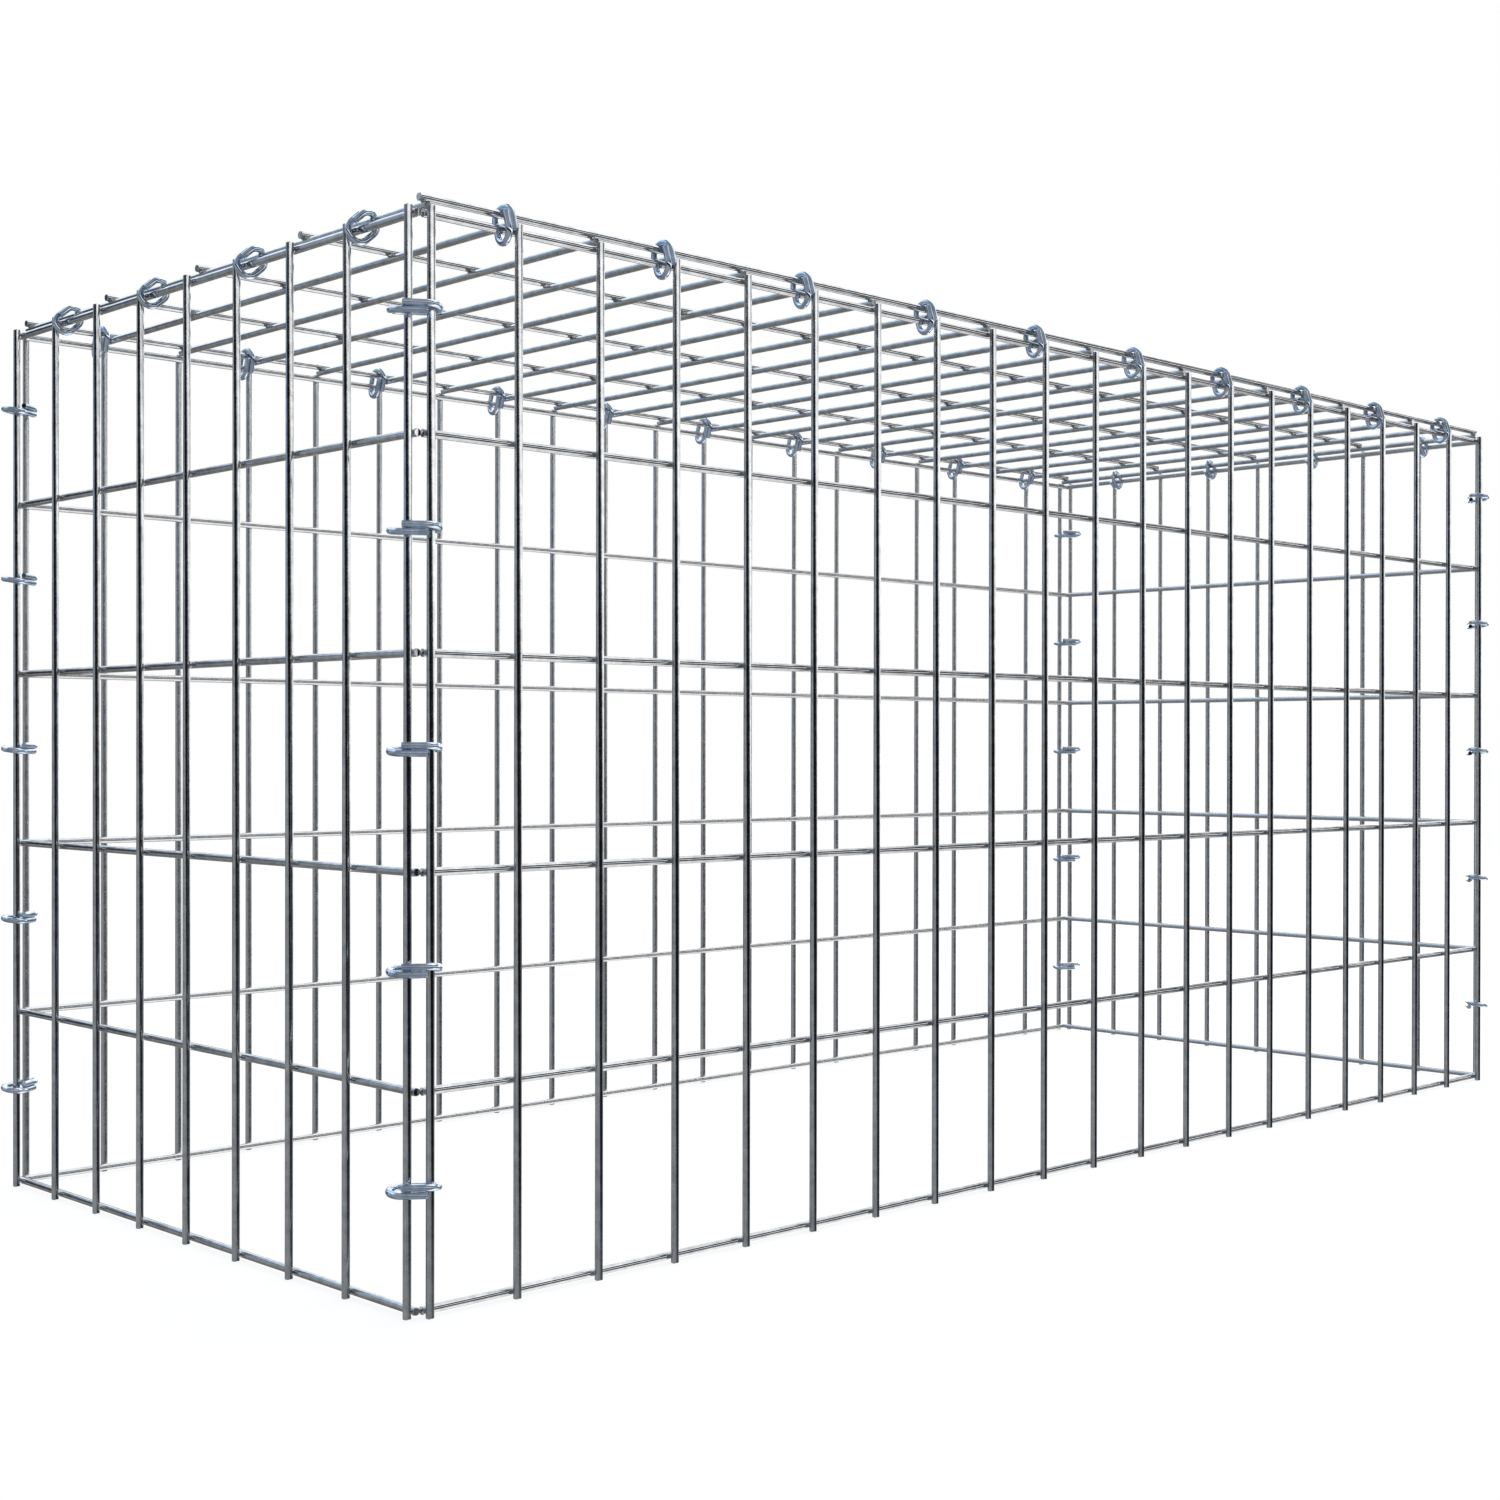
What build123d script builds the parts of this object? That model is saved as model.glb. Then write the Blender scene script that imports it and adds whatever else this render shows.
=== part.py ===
from build123d import *
from math import hypot
import os

# Gabion basket of welded wire mesh: four walls and a lid, open below, ringed together along its edges.
# The origin is under the middle of the basket, at the lower ends of the upright wires. X runs along
# the front, Y from the front to the back, Z up. All sizes are millimetres.

# Mesh
wire_d = 4.0  # galvanised mesh wire
weld_depth = 0.4  # how far two crossing wires sink into each other at a weld
close_pitch = 50.0  # between upright wires, and between the lid's cross wires
wide_pitch = 100.0  # between the walls' level wires
length_fields = 20  # mesh fields along the front
width_fields = 8  # mesh fields along a side wall
height_fields = 5  # mesh fields up a wall
upright_stub = 1.2  # upright wire's end past the side of the last level wire
level_stub = 0.4  # level wire's end past the side of the last upright wire

# How the panels stand to each other
corner_gap = 1.9  # along Y, between the edge wires of a side wall and of the front wall
level_gap = 0.5  # between the end of a front level wire and the side wall's level wire
lid_gap = 0.2  # under the lid's cross wires, above the walls' top level wires
lid_end_gap = 0.9  # between the ends of the lid's cross wires and the upright wires

# Ring clips
clip_d = 3.4  # clip wire
lap_gap = 0.1  # between the two lapped ends of a clip
seat_gap = 0.15  # between a clip and the wire it bears on
beside_gap = 0.2  # between a top clip and the upright wire beside it
clip_tail = 1.0  # straight end past the point where the other strand starts to bend
top_slack = 2.4  # length left over in a top clip
top_play = 3.4  # width left over in a top clip
corner_slack = 4.6  # length left over in a corner clip
corner_play = 5.0  # width left over in a corner clip
corner_lift = 6.0  # corner clip above the middle of its mesh field

# Places that follow from the sizes
wire_r = wire_d / 2
layer = wire_d - weld_depth  # between the middles of the two layers of wire in a panel
half_length = length_fields * close_pitch / 2
half_width = width_fields * close_pitch / 2
level_tail = wire_r + level_stub
upright_tail = wire_r + upright_stub
front_y = half_width + wire_d + corner_gap
side_x = half_length + level_tail + level_gap + wire_r + layer
bottom_z = upright_tail
top_z = bottom_z + height_fields * wide_pitch
lid_cross_z = top_z + wire_d + lid_gap
lid_long_z = lid_cross_z + layer
lid_tail = front_y - wire_r - lid_end_gap - half_width
lid_fields = max(1, round(2 * half_width / wide_pitch))


def mesh_panel(label, face, columns, column_pitch, column_tail, rows, row_pitch, row_tail):
    """Makes a flat welded panel. Its columns are wires along the face's Y axis, in the plane of the face.
    Its rows are wires along the face's X axis, welded to the columns on the side away from the face's normal."""
    width = (columns - 1) * column_pitch
    height = (rows - 1) * row_pitch
    column_foot = face.from_local_coords((0, -height / 2 - column_tail, 0))
    row_foot = face.from_local_coords((-width / 2 - row_tail, 0, -layer))
    with BuildPart() as panel:
        with BuildSketch(Plane(origin=column_foot, x_dir=face.x_dir, z_dir=face.y_dir)):
            with GridLocations(column_pitch, 0, columns, 1):
                Circle(wire_r)
        extrude(amount=height + 2 * column_tail)
        with BuildSketch(Plane(origin=row_foot, x_dir=face.y_dir, z_dir=face.x_dir)):
            with GridLocations(row_pitch, 0, rows, 1):
                Circle(wire_r)
        extrude(amount=width + 2 * row_tail)
    panel.part.label = label
    export_step(panel.part, f"parts/{label}.step")


def wall(label, foot, along, outward, fields):
    """Makes an upright wall above its foot, with its upright wires outside and its level wires inside."""
    middle = Vector(*foot) + Vector(0, 0, (bottom_z + top_z) / 2)
    face = Plane(origin=middle, x_dir=along, z_dir=outward)
    mesh_panel(label, face, fields + 1, close_pitch, upright_tail, height_fields + 1, wide_pitch, level_tail)


def ring_clip(label, bearing, other, edge, slack, play, hand):
    """Bends one closed clip, with the edge as its axis, round two parallel wires. It bears on the first one.
    Its two ends lie lapped side by side, on the side that is a quarter turn about the edge from the wires."""
    reach = Vector(*other) - Vector(*bearing)
    seat = Plane(origin=bearing, x_dir=reach, z_dir=edge)
    loop_width = wire_d + play + clip_d
    loop_length = reach.length + wire_d + slack + clip_d
    lap = hand * (clip_d + lap_gap) / 2
    bend_r = hypot(loop_width, lap) / 2
    near = bend_r - wire_r - seat_gap - clip_d / 2
    far = near + loop_length - 2 * bend_r
    side = loop_width / 2
    with BuildPart() as clip:
        with BuildLine(seat) as path:
            Line((far + clip_tail, side, -lap), (near, side, -lap))
            ThreePointArc((near, side, -lap), (near - bend_r, 0, -lap / 2), (near, -side, 0))
            Line((near, -side, 0), (far, -side, 0))
            ThreePointArc((far, -side, 0), (far + bend_r, 0, lap / 2), (far, side, lap))
            Line((far, side, lap), (near - clip_tail, side, lap))
        with BuildSketch(Plane(origin=path.line @ 0, z_dir=path.line % 0)):
            Circle(clip_d / 2)
        sweep()
    clip.part.label = label
    export_step(clip.part, f"parts/{label}.step")


os.makedirs("parts", exist_ok=True)

# Walls
wall("front_wall", (0, -front_y, 0), (1, 0, 0), (0, -1, 0), length_fields)
wall("back_wall", (0, front_y, 0), (1, 0, 0), (0, 1, 0), length_fields)
wall("left_wall", (-side_x, 0, 0), (0, 1, 0), (-1, 0, 0), width_fields)
wall("right_wall", (side_x, 0, 0), (0, 1, 0), (1, 0, 0), width_fields)

# Lid, with its long wires on top of its cross wires
lid_face = Plane(origin=(0, 0, lid_cross_z), x_dir=(1, 0, 0), z_dir=(0, 0, -1))
lid_pitch = 2 * half_width / lid_fields
mesh_panel("lid", lid_face, length_fields + 1, close_pitch, lid_tail, lid_fields + 1, lid_pitch, lid_tail)

# Clips along the top edges, one beside every second upright wire
beside = wire_r + beside_gap + clip_d + lap_gap / 2
for number in range(length_fields // 2):
    x = -half_length + (2 * number + 1) * close_pitch - beside
    for name, turn in (("front", -1), ("back", 1)):
        lid_wire = (x, turn * half_width, lid_long_z)
        wall_wire = (x, turn * (front_y - layer), top_z)
        ring_clip(f"clip_{name}_top_{number + 1}", lid_wire, wall_wire, (-1, 0, 0), top_slack, top_play, 1)
for number in range(width_fields // 2):
    y = -half_width + (2 * number + 1) * close_pitch - beside
    for name, turn in (("left", -1), ("right", 1)):
        lid_wire = (turn * half_length, y, lid_cross_z)
        wall_wire = (turn * (side_x - layer), y, top_z)
        ring_clip(f"clip_{name}_top_{number + 1}", lid_wire, wall_wire, (0, 1, 0), top_slack, top_play, 1)

# Clips up the four corners, one in every mesh field. The last number is the way up of the clip's axis,
# which says on which side its ends lap.
corners = {
    "front_left": (-1, -1, 1),
    "front_right": (1, -1, 1),
    "back_left": (-1, 1, 1),
    "back_right": (1, 1, -1),
}
for name, (turn_x, turn_y, lap_side) in corners.items():
    for number in range(height_fields):
        z = bottom_z + (number + 0.5) * wide_pitch + corner_lift
        front_wire = (turn_x * half_length, turn_y * front_y, z)
        side_wire = (turn_x * side_x, turn_y * half_width, z)
        edge = (0, 0, lap_side)
        ring_clip(f"clip_{name}_{number + 1}", front_wire, side_wire, edge, corner_slack, corner_play, -1)
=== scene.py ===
# %% [markdown]
# A gabion basket is a box of welded wire mesh that is filled with stones. This one is empty: four walls
# and a lid, held together by open steel rings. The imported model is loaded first. It is a fixed frame:
# each piece made here goes exactly where a node of that model is, and takes its place in the picture.

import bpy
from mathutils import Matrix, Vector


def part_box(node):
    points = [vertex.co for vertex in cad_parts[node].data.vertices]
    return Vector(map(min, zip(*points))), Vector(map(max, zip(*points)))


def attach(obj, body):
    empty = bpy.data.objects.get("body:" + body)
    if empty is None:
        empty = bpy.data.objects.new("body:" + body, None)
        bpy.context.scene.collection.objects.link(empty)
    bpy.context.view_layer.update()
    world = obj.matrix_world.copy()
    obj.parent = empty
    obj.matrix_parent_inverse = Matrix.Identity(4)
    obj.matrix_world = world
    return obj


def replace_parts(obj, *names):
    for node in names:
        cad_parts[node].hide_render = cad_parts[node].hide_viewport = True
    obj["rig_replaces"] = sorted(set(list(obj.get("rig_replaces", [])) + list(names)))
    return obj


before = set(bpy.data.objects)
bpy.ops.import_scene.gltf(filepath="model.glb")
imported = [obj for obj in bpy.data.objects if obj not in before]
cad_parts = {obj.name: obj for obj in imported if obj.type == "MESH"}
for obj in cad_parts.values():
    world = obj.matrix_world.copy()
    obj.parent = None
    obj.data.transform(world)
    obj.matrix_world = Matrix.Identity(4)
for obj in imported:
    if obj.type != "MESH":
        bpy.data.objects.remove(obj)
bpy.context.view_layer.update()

# %% [markdown]
# The basket's sizes are few, because everything follows from a wire, a mesh field and the way that the
# panels stand to each other. They could be measured off the loaded boxes, but named values read better,
# and a later cell compares every finished piece with its node's box.

# %% The basket's sizes, in metres
from math import cos, hypot, pi, radians, sin

import bpy
from mathutils import Matrix, Vector

MM = 0.001
wire_d = 4.0 * MM
weld_depth = 0.4 * MM
close_pitch = 50.0 * MM
wide_pitch = 100.0 * MM
length_fields, width_fields, height_fields = 20, 8, 5
upright_stub = 1.2 * MM
level_stub = 0.4 * MM
corner_gap = 1.9 * MM
level_gap = 0.5 * MM
lid_gap = 0.2 * MM
lid_end_gap = 0.9 * MM

wire_r = wire_d / 2
layer = wire_d - weld_depth
half_length = length_fields * close_pitch / 2
half_width = width_fields * close_pitch / 2
level_tail = wire_r + level_stub
upright_tail = wire_r + upright_stub
front_y = half_width + wire_d + corner_gap
side_x = half_length + level_tail + level_gap + wire_r + layer
bottom_z = upright_tail
top_z = bottom_z + height_fields * wide_pitch
lid_cross_z = top_z + wire_d + lid_gap
lid_long_z = lid_cross_z + layer
lid_tail = front_y - wire_r - lid_end_gap - half_width
lid_fields = round(2 * half_width / wide_pitch)
print("front wall at y", round(-front_y, 4), "left wall at x", round(-side_x, 4))
print("lid's long wires at z", round(lid_long_z, 4))

# %% [markdown]
# The camera stands low in front of the left corner and looks almost level, so that the walls' upright
# wires stay upright in the picture. Where it stands and how long its lens is were worked out from the
# places of many wire crossings. The small shift does what a tall studio camera does: it moves the frame
# without tilting the lens.

# %% The camera
def set_camera(place, turn, tilt, roll, lens, shift):
    """Turn is from +Y towards +X, tilt is up, and roll is the camera's right side up, all in degrees."""
    a, b, c = radians(turn), radians(tilt), radians(roll)
    level_right = Vector((cos(a), -sin(a), 0))
    level_ahead = Vector((sin(a), cos(a), 0))
    ahead = level_ahead * cos(b) + Vector((0, 0, sin(b)))
    above = Vector((0, 0, cos(b))) - level_ahead * sin(b)
    right = level_right * cos(c) + above * sin(c)
    upright = above * cos(c) - level_right * sin(c)
    data = bpy.data.cameras.new("camera")
    data.sensor_width = 36
    data.lens = lens
    data.shift_x, data.shift_y = shift
    camera = bpy.data.objects.new("camera", data)
    axes = Matrix((right, upright, -ahead)).transposed().to_4x4()
    camera.matrix_world = Matrix.Translation(place) @ axes
    bpy.context.scene.collection.objects.link(camera)
    bpy.context.scene.camera = camera
    return camera


bpy.context.scene.view_settings.view_transform = "Standard"
camera = set_camera((-1.0579, -0.9916, 0.2596), 44.08, -0.27, 0.12, 50.257, (-0.0008, 0.0060))
print("lens", round(camera.data.lens, 2), "mm, at", [round(x, 3) for x in camera.location])

# %% [markdown]
# A bare metal wire has hardly any colour of its own. What is seen on it is the room: a dark stripe where
# it mirrors the dark side of the studio, a white edge where it mirrors a bright one. A world of one even
# grey would make every wire flat. Lamps alone would give it points of light. So the world is painted as a
# dome of large cards, each soft at its edges, in the places where a studio has them. Each card is painted
# over the ones before it, as one sheet hangs in front of another. Two of them lean, because the stripe on
# the upright wires drifts across the wire from top to bottom. The camera itself sees plain white.

# %% The studio's cards
def node(tree, kind, inputs=(), **settings):
    """Adds a node. An input is given as (socket, value), where the value may be another node's socket."""
    made = tree.nodes.new(kind)
    for name, value in settings.items():
        setattr(made, name, value)
    for socket, value in inputs:
        if isinstance(value, bpy.types.NodeSocket):
            tree.links.new(value, made.inputs[socket])
        else:
            made.inputs[socket].default_value = value
    return made


def calculate(tree, operation, *values):
    """Adds one sum to a tree and gives its result's socket."""
    return node(tree, "ShaderNodeMath", enumerate(values), operation=operation).outputs[0]


def mix(tree, share, first, second):
    """Mixes two colours. Sockets 6 and 7 of the node are its two colours and 2 is its result."""
    made = node(tree, "ShaderNodeMix", data_type="RGBA")
    for socket, value in ((0, share), (6, first), (7, second)):
        if isinstance(value, bpy.types.NodeSocket):
            tree.links.new(value, made.inputs[socket])
        else:
            made.inputs[socket].default_value = value
    return made.outputs[2]


def within(tree, across, limit, soft):
    """Is 1 inside the limit either side of nought, falls off softly, and is 0 beyond it."""
    size = calculate(tree, "ABSOLUTE", across)
    ends = [("Value", size), ("From Min", limit + soft), ("From Max", limit - soft)]
    return node(tree, "ShaderNodeMapRange", ends, interpolation_type="SMOOTHSTEP").outputs[0]


def hang_card(tree, turn_seen, height_seen, before, card):
    """Paints one card over what is there before. Its middle, half width and half height are degrees on the
    dome round the basket, and it leans by some degrees of turn for each degree of height."""
    turn, height, wide, high, lean, side_soft, top_soft, colour = card
    straight = calculate(tree, "SUBTRACT", turn_seen, calculate(tree, "MULTIPLY", height_seen, lean))
    across = calculate(tree, "WRAP", calculate(tree, "SUBTRACT", straight, turn), 180, -180)
    along = calculate(tree, "SUBTRACT", height_seen, height)
    inside = within(tree, across, wide, side_soft), within(tree, along, high, top_soft)
    return mix(tree, calculate(tree, "MULTIPLY", *inside), before, (*colour, 1))


# Each line is a card, in degrees: turn from +Y towards +X, height, half width, half height, lean, the
# softness of its sides, the softness of its top and foot, and last its colour
cards = [
    (0, -64, 200, 38, 0, 0, 12, (0.50, 0.49, 0.48)),  # the white table all round
    (100, -58, 50, 26, 0, 10, 10, (1.40, 1.38, 1.35)),  # its sunny side
    (328, -44, 55, 28, 0, 8, 8, (0.24, 0.23, 0.21)),  # its shaded side
    (0, 68, 200, 25, 0, 0, 5, (0.78, 0.88, 1.00)),  # the ceiling
    (350, 46, 60, 17, 0, 7, 7, (1.00, 1.20, 1.45)),  # a cool window, high on the left
    (18, 30, 30, 11, 0, 5, 4, (1.20, 1.40, 1.65)),  # its lower end, at the back
    (290, 0, 62, 16, 0, 8, 8, (0.36, 0.38, 0.40)),  # the left wall
    (300, 21, 30, 17, 0, 6, 6, (0.44, 0.55, 0.70)),  # its upper part, in cool light
    (339, 5, 9, 13, 0, 4, 4, (0.04, 0.04, 0.05)),  # a dark panel beside it
    (95, 60, 48, 22, 0, 4, 4, (1.60, 1.62, 1.65)),  # the lamps on the right
    (134, 13, 38, 19, 0, 5, 4, (0.03, 0.03, 0.035)),  # a dark panel under them
    (70, 14, 40, 17, 0, 5, 3, (1.60, 1.60, 1.60)),  # a bright screen beside it
    (203, 0, 42, 15, 5.2, 5, 4, (0.01, 0.01, 0.012)),  # the dark room behind the camera, leaning
    (82, 7, 41, 9, 8.2, 12, 3, (1.60, 1.60, 1.60)),  # the bright screen's leaning end
]
world = bpy.data.worlds.new("studio")
bpy.context.scene.world = world
world.use_nodes = True
room = world.node_tree
room.nodes.clear()
direction = room.nodes.new("ShaderNodeTexCoord").outputs["Generated"]
axes = node(room, "ShaderNodeSeparateXYZ", [(0, direction)]).outputs
turn_seen = calculate(room, "DEGREES", calculate(room, "ARCTAN2", axes["X"], axes["Y"]))
height_seen = calculate(room, "DEGREES", calculate(room, "ARCSINE", axes["Z"]))
painted = (0.30, 0.31, 0.33, 1)  # what is left between the cards
for card in cards:
    painted = hang_card(room, turn_seen, height_seen, painted, card)
light_path = room.nodes.new("ShaderNodeLightPath")
shown = mix(room, light_path.outputs["Is Camera Ray"], painted, (1, 1, 1, 1))
backdrop = node(room, "ShaderNodeBackground", [("Color", shown)])
room.links.new(backdrop.outputs[0], room.nodes.new("ShaderNodeOutputWorld").inputs["Surface"])
print("cards:", len(cards), "world nodes:", len(room.nodes))

# %% [markdown]
# The floor is a plain white sweep. To the camera it is nearly as bright as the backdrop, with a little
# real light on top, so that the basket's faint shadow stays on it. The wires don't mirror it, because the
# cards below the horizon already stand for it.

# %% The floor
def make_floor(half, bright, plain):
    """Makes a square floor. Bright is its glow to the camera, and plain is how white its paint is."""
    mesh = bpy.data.meshes.new("floor")
    corners = [(-half, -half, 0), (half, -half, 0), (half, half, 0), (-half, half, 0)]
    mesh.from_pydata(corners, [], [(0, 1, 2, 3)])
    floor = bpy.data.objects.new("floor", mesh)
    bpy.context.scene.collection.objects.link(floor)
    paint = bpy.data.materials.new("white_floor")
    paint.use_nodes = True
    tree = paint.node_tree
    tree.nodes.clear()
    to_camera = tree.nodes.new("ShaderNodeLightPath").outputs["Is Camera Ray"]
    glow = calculate(tree, "MULTIPLY", to_camera, bright)
    dimming = calculate(tree, "MULTIPLY", to_camera, plain * 0.75)  # leaves the camera a faint shadow
    shade = calculate(tree, "SUBTRACT", plain, dimming)
    grey = node(tree, "ShaderNodeCombineColor", [(0, shade), (1, shade), (2, shade)])
    lit = node(tree, "ShaderNodeBsdfDiffuse", [("Color", grey.outputs[0])])
    white = node(tree, "ShaderNodeEmission", [("Strength", glow)])
    both = node(tree, "ShaderNodeAddShader", [(0, lit.outputs[0]), (1, white.outputs[0])])
    tree.links.new(both.outputs[0], tree.nodes.new("ShaderNodeOutputMaterial").inputs["Surface"])
    mesh.materials.append(paint)
    floor.visible_glossy = False
    return floor


floor = make_floor(half=40, bright=0.86, plain=0.8)
print("floor at z", floor.location.z)

# %% [markdown]
# One broad lamp stands high on the right. The wires mirror the cards and not the lamp, so all that it does
# is light the floor and lay the basket's shadow on it. Its size keeps the shadow's edge wide.

# %% The lamp
lamp_data = bpy.data.lights.new("softbox", "AREA")
lamp_data.shape = "RECTANGLE"
lamp_data.size, lamp_data.size_y = 1.6, 1.6
lamp_data.energy = 30
lamp = bpy.data.objects.new("softbox", lamp_data)
lamp_place = Vector((2.4, -0.2, 1.5))
aim = (-lamp_place).to_track_quat("-Z", "Y").to_matrix().to_4x4()
lamp.matrix_world = Matrix.Translation(lamp_place) @ aim
lamp.visible_glossy = False
bpy.context.scene.collection.objects.link(lamp)
print("lamp", round(lamp_place.length, 2), "m away")

# %% [markdown]
# Galvanised wire is steel in a skin of zinc. The skin is bright but not polished: its shine is broken by
# fine grain, by cloudy patches a few millimetres long, and by duller places where the zinc has
# weathered. One flat grey would look like plastic. Here three noises at three scales drive the colour,
# the roughness and a very shallow relief, all in the object's own coordinates. The front wall, the left
# wall and the lid have the bright skin. The back and right walls look paler and duller in the photo, so
# their skin is rougher, and their zinc colour is painted paler too: painted light, a lighter copy of the
# same zinc that stands in for the light on these walls. The clips' skin is bluer and shinier.

# %% The zinc finish
def noise(tree, place, waves_per_metre, octaves, break_up=0.5):
    """Adds one noise and gives the socket of its strength."""
    inputs = [("Vector", place), ("Scale", waves_per_metre), ("Detail", octaves), ("Roughness", break_up)]
    return node(tree, "ShaderNodeTexNoise", inputs).outputs["Fac"]


def add_shares(tree, *noises):
    """Adds noises up, each with its share."""
    return calculate(tree, "ADD", *[calculate(tree, "MULTIPLY", fac, share) for fac, share in noises])


def zinc(name, dull, bright, rough, relief):
    """Makes a metal finish between two colours, with its roughness between two values and its relief in
    metres."""
    finish = bpy.data.materials.new(name)
    finish.use_nodes = True
    tree = finish.node_tree
    metal = tree.nodes["Principled BSDF"]
    metal.inputs["Metallic"].default_value = 1.0
    place = tree.nodes.new("ShaderNodeTexCoord").outputs["Object"]
    clouds = noise(tree, place, waves_per_metre=170, octaves=3, break_up=0.6)
    weather = noise(tree, place, waves_per_metre=14, octaves=2)
    grain = noise(tree, place, waves_per_metre=900, octaves=2)
    patch = add_shares(tree, (clouds, 0.75), (weather, 0.25))
    spread = node(tree, "ShaderNodeMapRange", [("Value", patch), ("From Min", 0.36), ("From Max", 0.64)])
    tree.links.new(mix(tree, spread.outputs[0], (*dull, 1), (*bright, 1)), metal.inputs["Base Color"])
    sheen = add_shares(tree, (clouds, 0.5), (grain, 0.5))
    ends = [("Value", sheen), ("From Min", 0.35), ("From Max", 0.65)]
    ends += [("To Min", rough[0]), ("To Max", rough[1])]
    tree.links.new(node(tree, "ShaderNodeMapRange", ends).outputs[0], metal.inputs["Roughness"])
    height = add_shares(tree, (clouds, 0.7), (grain, 0.3))
    bumps = node(tree, "ShaderNodeBump", [("Height", height), ("Strength", 1.0), ("Distance", relief)])
    tree.links.new(bumps.outputs[0], metal.inputs["Normal"])
    return finish


mesh_zinc = zinc("mesh_zinc", (0.44, 0.45, 0.46), (0.66, 0.67, 0.68), (0.06, 0.12), 0.00003)
# painted light: this copy's zinc colour is painted paler than mesh_zinc; only its rougher range is real
rough_zinc_painted_pale = zinc("rough_zinc_painted_pale", (0.58, 0.59, 0.60), (0.70, 0.70, 0.70), (0.20, 0.28), 0.000012)
clip_zinc = zinc("clip_zinc", (0.40, 0.50, 0.64), (0.78, 0.87, 0.98), (0.03, 0.07), 0.000012)
print("finishes:", mesh_zinc.name, rough_zinc_painted_pale.name, clip_zinc.name)

# %% [markdown]
# A welded panel is two layers of straight wires, one across the other, joined where they touch. Drawing
# each wire by hand would be slow and hard to change. A Geometry Nodes tree says the rule once: sweep one
# wire, stand copies of it a pitch apart, lay the other layer behind it, and put a small bead of flowed
# metal in every crossing. The same tree makes all five panels from their own numbers.

# %% Numbers inside a tree
class Number:
    """A number in a tree, so that a formula in the tree reads as a formula."""

    def __init__(self, tree, socket):
        self.tree, self.socket = tree, socket

    def sum(self, operation, *values):
        sockets = [v.socket if isinstance(v, Number) else v for v in values]
        return Number(self.tree, calculate(self.tree, operation, *sockets))

    def __add__(self, other):
        return self.sum("ADD", self, other)

    def __sub__(self, other):
        return self.sum("SUBTRACT", self, other)

    def __mul__(self, other):
        return self.sum("MULTIPLY", self, other)

    def __truediv__(self, other):
        return self.sum("DIVIDE", self, other)

    def at_least(self, other):
        return self.sum("MAXIMUM", self, other)

    def at_most(self, other):
        return self.sum("MINIMUM", self, other)

    def cosine(self):
        return self.sum("COSINE", self)

    def sine(self):
        return self.sum("SINE", self)

    def sign(self):
        return self.sum("SIGN", self)


def new_tree(name, sizes):
    """Starts a tree with a named input for each size, and gives the tree and its inputs as Numbers."""
    tree = bpy.data.node_groups.new(name, "GeometryNodeTree")
    for label, kind in sizes:
        tree.interface.new_socket(label, in_out="INPUT", socket_type="NodeSocket" + kind)
    tree.interface.new_socket("Wires", in_out="OUTPUT", socket_type="NodeSocketGeometry")
    given = tree.nodes.new("NodeGroupInput")
    return tree, {label: Number(tree, given.outputs[label]) for label, _ in sizes}


def vector(tree, x, y, z):
    """Puts three numbers together to a vector's socket."""
    parts = [(i, v.socket if isinstance(v, Number) else v) for i, v in enumerate((x, y, z))]
    return node(tree, "ShaderNodeCombineXYZ", parts).outputs[0]


def finish_tree(tree, shape, material):
    """Ends a tree: real geometry, smooth but for sharp edges, in its material."""
    real = node(tree, "GeometryNodeRealizeInstances", [("Geometry", shape)])
    smooth = node(tree, "GeometryNodeSetShadeSmooth", [("Geometry", real.outputs[0]), ("Shade Smooth", True)])
    bend = tree.nodes.new("GeometryNodeInputMeshEdgeAngle").outputs["Unsigned Angle"]
    sharp = calculate(tree, "GREATER_THAN", bend, radians(35))
    creased = node(tree, "GeometryNodeSetShadeSmooth", [
        ("Geometry", smooth.outputs[0]), ("Selection", sharp), ("Shade Smooth", False)], domain="EDGE")
    coated = node(tree, "GeometryNodeSetMaterial", [
        ("Geometry", creased.outputs[0]), ("Material", material.socket)])
    tree.links.new(coated.outputs[0], tree.nodes.new("NodeGroupOutput").inputs[0])


# %% The welded panel's tree
panel_tree, size = new_tree("welded_panel", [
    ("Columns", "Int"), ("Column pitch", "Float"), ("Column length", "Float"),
    ("Rows", "Int"), ("Row pitch", "Float"), ("Row length", "Float"),
    ("Layer", "Float"), ("Wire radius", "Float"), ("Sides", "Int"),
    ("End bevel", "Float"), ("Bead radius", "Float"), ("Seed", "Int"), ("Finish", "Material"),
])


def swept_wire(tree, size, length):
    """One straight wire along Y with its middle at the origin and a small bevel round each cut end."""
    line = node(tree, "GeometryNodeCurvePrimitiveLine", [("Start", (0, -1, 0)), ("End", (0, 1, 0))])
    points = node(tree, "GeometryNodeResampleCurve", [("Curve", line.outputs[0]), ("Count", 4)])
    along = Number(tree, tree.nodes.new("GeometryNodeSplineParameter").outputs["Factor"]) - 0.5
    is_end = node(tree, "GeometryNodeCurveEndpointSelection").outputs[0]
    end = Number(tree, is_end)
    reach = length * 0.5 - size["End bevel"] + size["End bevel"] * end
    placed = node(tree, "GeometryNodeSetPosition", [
        ("Geometry", points.outputs[0]), ("Position", vector(tree, 0, along.sign() * reach, 0))])
    circle = node(tree, "GeometryNodeCurvePrimitiveCircle", [
        ("Resolution", size["Sides"].socket), ("Radius", size["Wire radius"].socket)])
    thin = end * (size["End bevel"] / size["Wire radius"])
    swept = node(tree, "GeometryNodeCurveToMesh", [
        ("Curve", placed.outputs[0]), ("Profile Curve", circle.outputs[0]),
        ("Scale", (thin * -1 + 1).socket), ("Fill Caps", True)])
    return swept.outputs[0]


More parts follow.
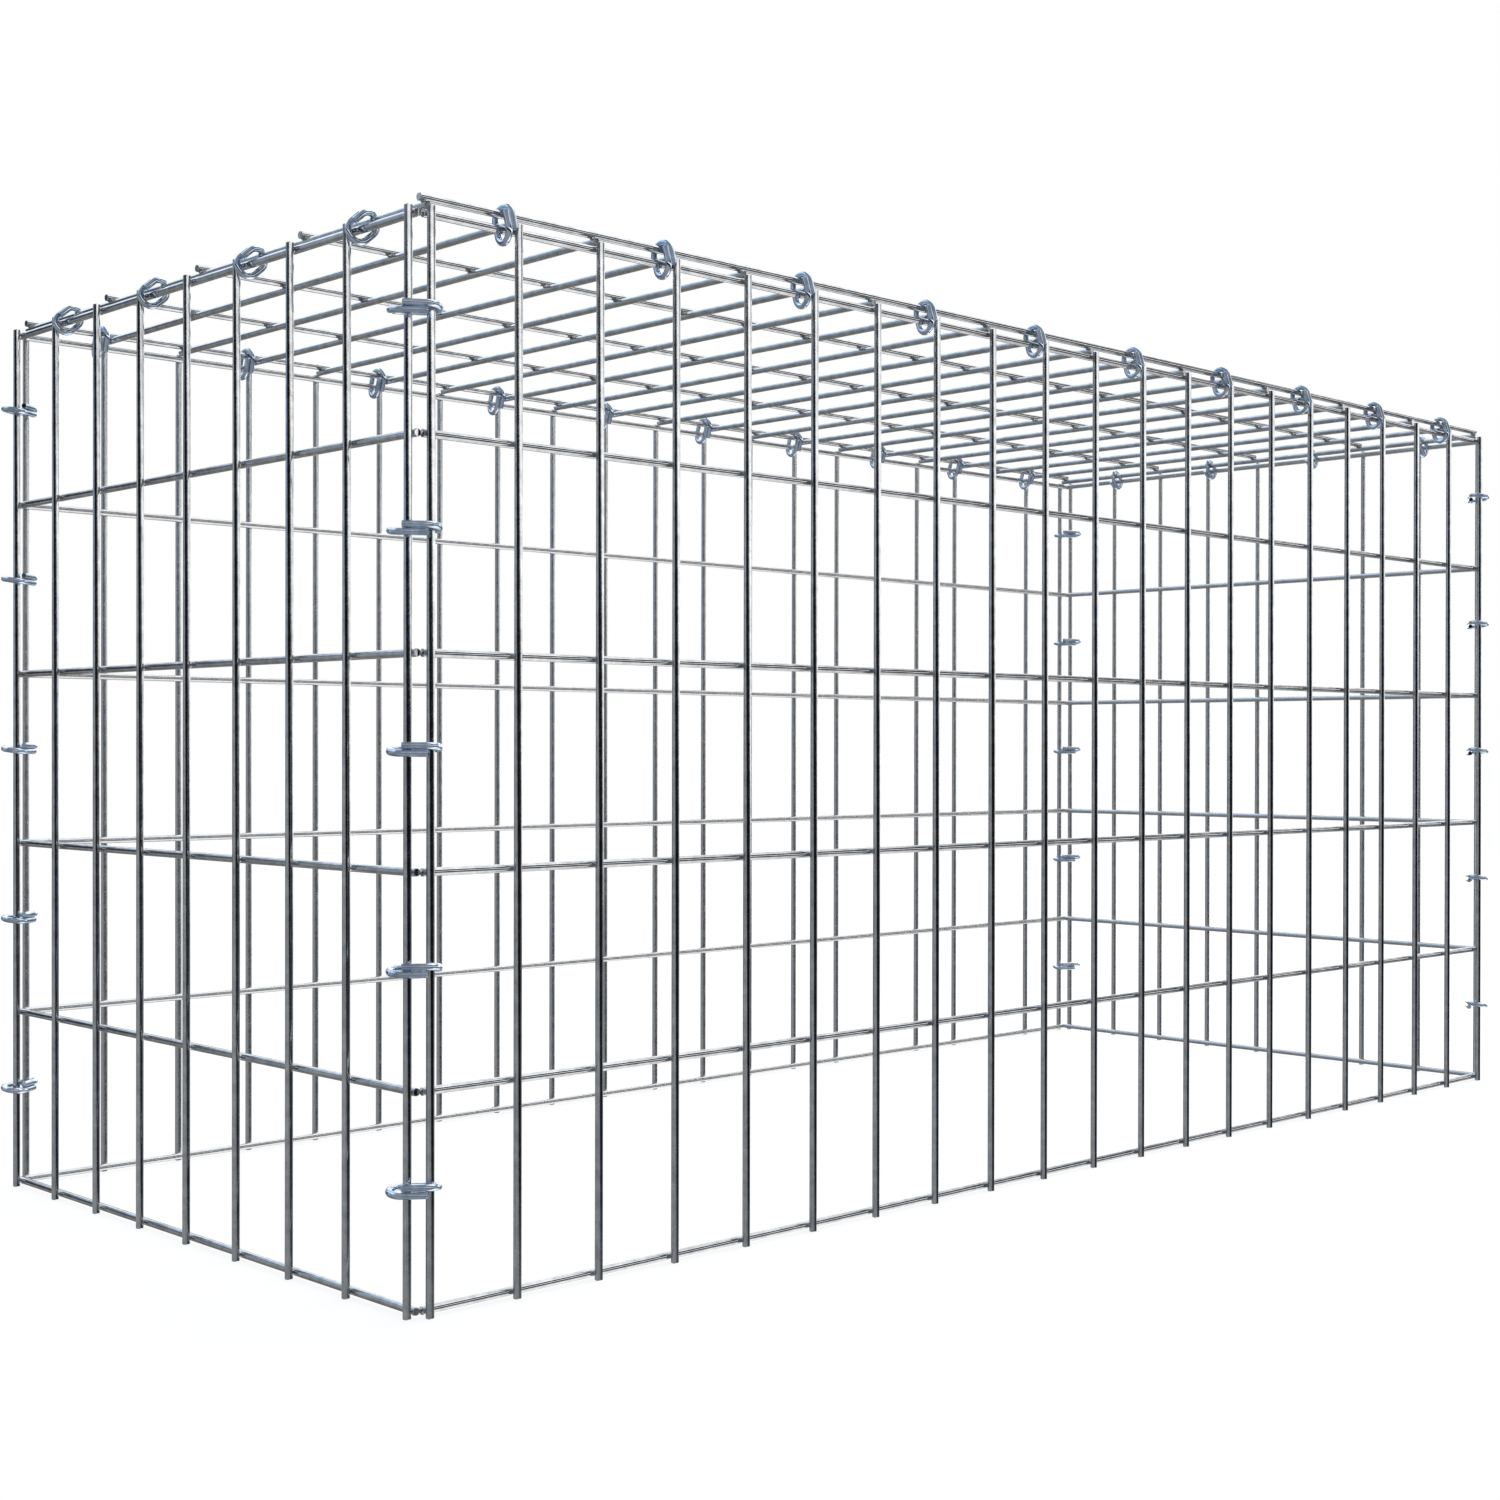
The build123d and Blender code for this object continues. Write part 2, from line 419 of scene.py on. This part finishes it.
def stand_in_line(tree, wire, count, pitch, step, height, turn):
    """Copies a wire a pitch apart along a step direction, about the middle, at a height."""
    first = (count - 1) * pitch * -0.5
    line = node(tree, "GeometryNodeMeshLine", [
        ("Count", count.socket),
        ("Start Location", vector(tree, *[first * s if s else 0 for s in step[:2]], height)),
        ("Offset", vector(tree, *[pitch * s if s else 0 for s in step[:2]], 0))])
    copies = node(tree, "GeometryNodeInstanceOnPoints", [
        ("Points", line.outputs[0]), ("Instance", wire), ("Rotation", turn)])
    return copies.outputs[0]


def weld_beads(tree, size):
    """A small flattened bead between the two wires of every crossing, no two quite alike."""
    grid = node(tree, "GeometryNodeMeshGrid", [
        ("Size X", ((size["Columns"] - 1) * size["Column pitch"]).socket),
        ("Size Y", ((size["Rows"] - 1) * size["Row pitch"]).socket),
        ("Vertices X", size["Columns"].socket), ("Vertices Y", size["Rows"].socket)])
    lowered = node(tree, "GeometryNodeSetPosition", [
        ("Geometry", grid.outputs[0]), ("Offset", vector(tree, 0, 0, size["Layer"] * -0.5))])
    bead = node(tree, "GeometryNodeMeshUVSphere", [
        ("Segments", 8), ("Rings", 5), ("Radius", size["Bead radius"].socket)])
    spread = node(tree, "FunctionNodeRandomValue", [
        ("Min", (0.9, 0.9, 0.5)), ("Max", (1.15, 1.15, 0.6)), ("Seed", size["Seed"].socket)],
        data_type="FLOAT_VECTOR")
    twist = node(tree, "FunctionNodeRandomValue", [
        ("Min", (-0.1, -0.1, 0)), ("Max", (0.1, 0.1, 6.28)), ("Seed", (size["Seed"] + 1).socket)],
        data_type="FLOAT_VECTOR")
    copies = node(tree, "GeometryNodeInstanceOnPoints", [
        ("Points", lowered.outputs[0]), ("Instance", bead.outputs[0]),
        ("Rotation", twist.outputs[0]), ("Scale", spread.outputs[0])])
    return copies.outputs[0]


columns = stand_in_line(panel_tree, swept_wire(panel_tree, size, size["Column length"]),
                        size["Columns"], size["Column pitch"], (1, 0), 0, (0, 0, 0))
rows = stand_in_line(panel_tree, swept_wire(panel_tree, size, size["Row length"]),
                     size["Rows"], size["Row pitch"], (0, 1), size["Layer"] * -1, (0, 0, pi / 2))
whole = panel_tree.nodes.new("GeometryNodeJoinGeometry")
for part in (columns, rows, weld_beads(panel_tree, size)):
    panel_tree.links.new(part, whole.inputs[0])
finish_tree(panel_tree, whole.outputs[0], size["Finish"])
print("panel tree:", len(panel_tree.nodes), "nodes")

# %% [markdown]
# A tree only makes a shape when a modifier runs it. Each piece is therefore made in the same four steps:
# an empty mesh gets the modifier, the modifier gets its numbers, the result is copied out as a plain
# mesh, and that mesh is turned to where the piece belongs. Nothing live is left on the piece.

# %% Run a tree and put the piece in its place
def make_piece(node_name, tree, numbers, place):
    """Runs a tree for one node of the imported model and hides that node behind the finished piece."""
    bare = bpy.data.objects.new("bare", bpy.data.meshes.new("bare"))
    bpy.context.scene.collection.objects.link(bare)
    maker = bare.modifiers.new("maker", "NODES")
    maker.node_group = tree
    for item in tree.interface.items_tree:
        if item.in_out == "INPUT":
            maker[item.identifier] = numbers[item.name]
    depsgraph = bpy.context.evaluated_depsgraph_get()
    mesh = bpy.data.meshes.new_from_object(bare.evaluated_get(depsgraph), depsgraph=depsgraph)
    bpy.data.objects.remove(bare)
    mesh.name = node_name + "_wires"
    mesh.transform(place)
    piece = bpy.data.objects.new(node_name + "_wires", mesh)
    bpy.context.scene.collection.objects.link(piece)
    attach(piece, "root")
    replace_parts(piece, node_name)
    return piece


def facing(origin, x_axis, z_axis):
    """The place of a flat thing, from its origin, its own X axis and the way that it faces."""
    x, z = Vector(x_axis).normalized(), Vector(z_axis).normalized()
    axes = Matrix((x, z.cross(x), z)).transposed().to_4x4()
    return Matrix.Translation(origin) @ axes


def offset_from_node(piece, node_name):
    """How far the piece's box is from its node's box at most, in millimetres."""
    corners = [v.co for v in piece.data.vertices]
    low = Vector(min(c[i] for c in corners) for i in range(3))
    high = Vector(max(c[i] for c in corners) for i in range(3))
    node_low, node_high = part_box(node_name)
    gaps = [*(low - node_low), *(high - node_high)]
    return max(abs(g) for g in gaps) * 1000


# %% [markdown]
# The walls have their upright wires outside and their level wires inside. The lid lies on the walls with
# its long wires on top.

# %% The four walls and the lid
wire_sides = 16
end_bevel = 0.3 * MM
bead_r = 1.7 * MM


def make_panel(node_name, place, columns, column_pitch, column_tail, rows, row_pitch, row_tail, seed, finish):
    """Makes one welded panel. A tail is how far a wire runs on past the middle of the last one it crosses."""
    numbers = {
        "Columns": columns, "Column pitch": column_pitch,
        "Column length": (rows - 1) * row_pitch + 2 * column_tail,
        "Rows": rows, "Row pitch": row_pitch,
        "Row length": (columns - 1) * column_pitch + 2 * row_tail,
        "Layer": layer, "Wire radius": wire_r, "Sides": wire_sides, "End bevel": end_bevel,
        "Bead radius": bead_r, "Seed": seed, "Finish": finish,
    }
    return make_piece(node_name, panel_tree, numbers, place)


middle_z = (bottom_z + top_z) / 2
walls = [
    ("front_wall", (0, -front_y, middle_z), (1, 0, 0), (0, -1, 0), length_fields),
    ("back_wall", (0, front_y, middle_z), (1, 0, 0), (0, 1, 0), length_fields),
    ("left_wall", (-side_x, 0, middle_z), (0, 1, 0), (-1, 0, 0), width_fields),
    ("right_wall", (side_x, 0, middle_z), (0, 1, 0), (1, 0, 0), width_fields),
]
panels = []
for seed, (name, origin, along, outward, fields) in enumerate(walls):
    panels.append(make_panel(name, facing(origin, along, outward), fields + 1, close_pitch, upright_tail,
                             height_fields + 1, wide_pitch, level_tail, seed * 7,
                             rough_zinc_painted_pale if name in ("back_wall", "right_wall") else mesh_zinc))
lid_place = facing((0, 0, lid_cross_z), (1, 0, 0), (0, 0, -1))
panels.append(make_panel("lid", lid_place, length_fields + 1, close_pitch, lid_tail,
                         lid_fields + 1, 2 * half_width / lid_fields, lid_tail, 40, mesh_zinc))
for piece in panels:
    node_name = piece["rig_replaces"][0]
    faces = sum(len(p.vertices) - 2 for p in piece.data.polygons)
    off = round(offset_from_node(piece, node_name), 3)
    print(node_name, "triangles", faces, "off its node by", off, "mm")

# %% [markdown]
# The rings that hold the panels are short lengths of wire bent shut round two neighbouring wires, with
# their ends lapped side by side. A ring could be a squashed torus, but then its ends would be missing.
# Its tree walks along the real path instead: a straight, a half turn, a straight, a half turn and a
# straight, while the path slides sideways by one wire, so that the ends pass each other.

# %% The ring clip's tree
clip_tree, size = new_tree("ring_clip", [
    ("Near bend", "Float"), ("Far bend", "Float"), ("Bend radius", "Float"), ("Half width", "Float"),
    ("Lap", "Float"), ("Tail", "Float"), ("Wire radius", "Float"), ("Steps", "Int"), ("Sides", "Int"),
    ("End bevel", "Float"), ("Finish", "Material"),
])
straight = size["Far bend"] - size["Near bend"]
turn_length = size["Bend radius"] * pi
first_straight = straight + size["Tail"]
total = straight * 3 + size["Tail"] * 2 + turn_length * 2
index = Number(clip_tree, clip_tree.nodes.new("GeometryNodeInputIndex").outputs[0])
end_step = 0.25  # the first and the last step are this much of the others, and make the ends' bevels
share = ((index + end_step - 1) / (size["Steps"] + 2 * end_step - 2)).at_least(0).at_most(1)
gone = share * total
after_first = gone - first_straight
turn_one = (after_first / size["Bend radius"]).at_least(0).at_most(pi)
after_turn = after_first - turn_length
back_run = after_turn.at_least(0).at_most(straight)
after_back = after_turn - straight
turn_two = (after_back / size["Bend radius"]).at_least(0).at_most(pi)
last_run = (after_back - turn_length).at_least(0)
after_one = size["Far bend"] + size["Tail"] - gone.at_most(first_straight)
after_one = after_one - size["Bend radius"] * turn_one.sine()
along_x = after_one + back_run + size["Bend radius"] * turn_two.sine() - last_run
along_y = size["Half width"] * (turn_one.cosine() + 1 - turn_two.cosine())
along_z = size["Lap"] * (turn_one.cosine() + turn_two.cosine()) * -0.5
line = node(clip_tree, "GeometryNodeCurvePrimitiveLine")
steps = node(clip_tree, "GeometryNodeResampleCurve", [
    ("Curve", line.outputs[0]), ("Count", (size["Steps"] + 1).socket)])
path = node(clip_tree, "GeometryNodeSetPosition", [
    ("Geometry", steps.outputs[0]), ("Position", vector(clip_tree, along_x, along_y, along_z))])
circle = node(clip_tree, "GeometryNodeCurvePrimitiveCircle", [
    ("Resolution", size["Sides"].socket), ("Radius", size["Wire radius"].socket)])
end = Number(clip_tree, clip_tree.nodes.new("GeometryNodeCurveEndpointSelection").outputs[0])
swept = node(clip_tree, "GeometryNodeCurveToMesh", [
    ("Curve", path.outputs[0]), ("Profile Curve", circle.outputs[0]),
    ("Scale", (end * (size["End bevel"] / size["Wire radius"]) * -1 + 1).socket), ("Fill Caps", True)])
finish_tree(clip_tree, swept.outputs[0], size["Finish"])
print("clip tree:", len(clip_tree.nodes), "nodes")

# %% [markdown]
# A clip bears on one wire and hangs loosely round the other. Its frame starts on the wire that carries
# it, looks towards the other wire, and has the basket's edge as its axis. Both kinds of clip, along the
# top and up the corners, come from this one rule.

# %% Make one clip
clip_d = 3.4 * MM
lap_gap = 0.1 * MM
seat_gap = 0.15 * MM
beside_gap = 0.2 * MM
clip_tail = 1.0 * MM
clip_steps, clip_sides = 56, 14


def make_clip(node_name, bearing, other, edge, slack, play, hand):
    """Makes the clip that bears on one wire and holds the other, with the edge as its axis. Slack and play
    are the length and the width left over in its loop, and hand is the side to which its ends lap."""
    reach = Vector(other) - Vector(bearing)
    loop_width = wire_d + play + clip_d
    loop_length = reach.length + wire_d + slack + clip_d
    lap = hand * (clip_d + lap_gap) / 2
    bend_r = hypot(loop_width, lap) / 2
    near = bend_r - wire_r - seat_gap - clip_d / 2
    numbers = {
        "Near bend": near, "Far bend": near + loop_length - 2 * bend_r, "Bend radius": bend_r,
        "Half width": loop_width / 2, "Lap": lap, "Tail": clip_tail, "Wire radius": clip_d / 2,
        "Steps": clip_steps, "Sides": clip_sides, "End bevel": end_bevel, "Finish": clip_zinc,
    }
    return make_piece(node_name, clip_tree, numbers, facing(bearing, reach, edge))


# %% [markdown]
# Along the top, the walls' top wires and the lid's edge wires run side by side, and a clip holds each pair
# beside every second upright wire. The clips could be placed one by one from the photo, but their rhythm is
# regular, so two loops say it. On the real basket they are crimped on last, after the lid is laid in place.

# %% The clips along the top edges
top_slack, top_play = 2.4 * MM, 3.4 * MM
beside = wire_r + beside_gap + clip_d + lap_gap / 2
clips = []
for number in range(length_fields // 2):
    x = -half_length + (2 * number + 1) * close_pitch - beside
    for name, turn in (("front", -1), ("back", 1)):
        lid_wire = (x, turn * half_width, lid_long_z)
        wall_wire = (x, turn * (front_y - layer), top_z)
        clips.append(make_clip(f"clip_{name}_top_{number + 1}", lid_wire, wall_wire, (-1, 0, 0),
                               top_slack, top_play, 1))
for number in range(width_fields // 2):
    y = -half_width + (2 * number + 1) * close_pitch - beside
    for name, turn in (("left", -1), ("right", 1)):
        lid_wire = (turn * half_length, y, lid_cross_z)
        wall_wire = (turn * (side_x - layer), y, top_z)
        clips.append(make_clip(f"clip_{name}_top_{number + 1}", lid_wire, wall_wire, (0, 1, 0),
                               top_slack, top_play, 1))
print("top clips:", len(clips))

# %% [markdown]
# Up each corner one clip in every mesh field holds the edge wires of two walls, a little above the middle of
# the field. These two wires are further apart than those along the top, so the clips are longer and wider.

# %% The clips up the corners
corner_slack, corner_play = 4.6 * MM, 5.0 * MM
corner_lift = 6.0 * MM
corners = {
    "front_left": (-1, -1, 1),
    "front_right": (1, -1, 1),
    "back_left": (-1, 1, 1),
    "back_right": (1, 1, -1),
}
for name, (turn_x, turn_y, lap_side) in corners.items():
    for number in range(height_fields):
        z = bottom_z + (number + 0.5) * wide_pitch + corner_lift
        front_wire = (turn_x * half_length, turn_y * front_y, z)
        side_wire = (turn_x * side_x, turn_y * half_width, z)
        clips.append(make_clip(f"clip_{name}_{number + 1}", front_wire, side_wire, (0, 0, lap_side),
                               corner_slack, corner_play, -1))
worst = max(clips, key=lambda c: offset_from_node(c, c["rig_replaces"][0]))
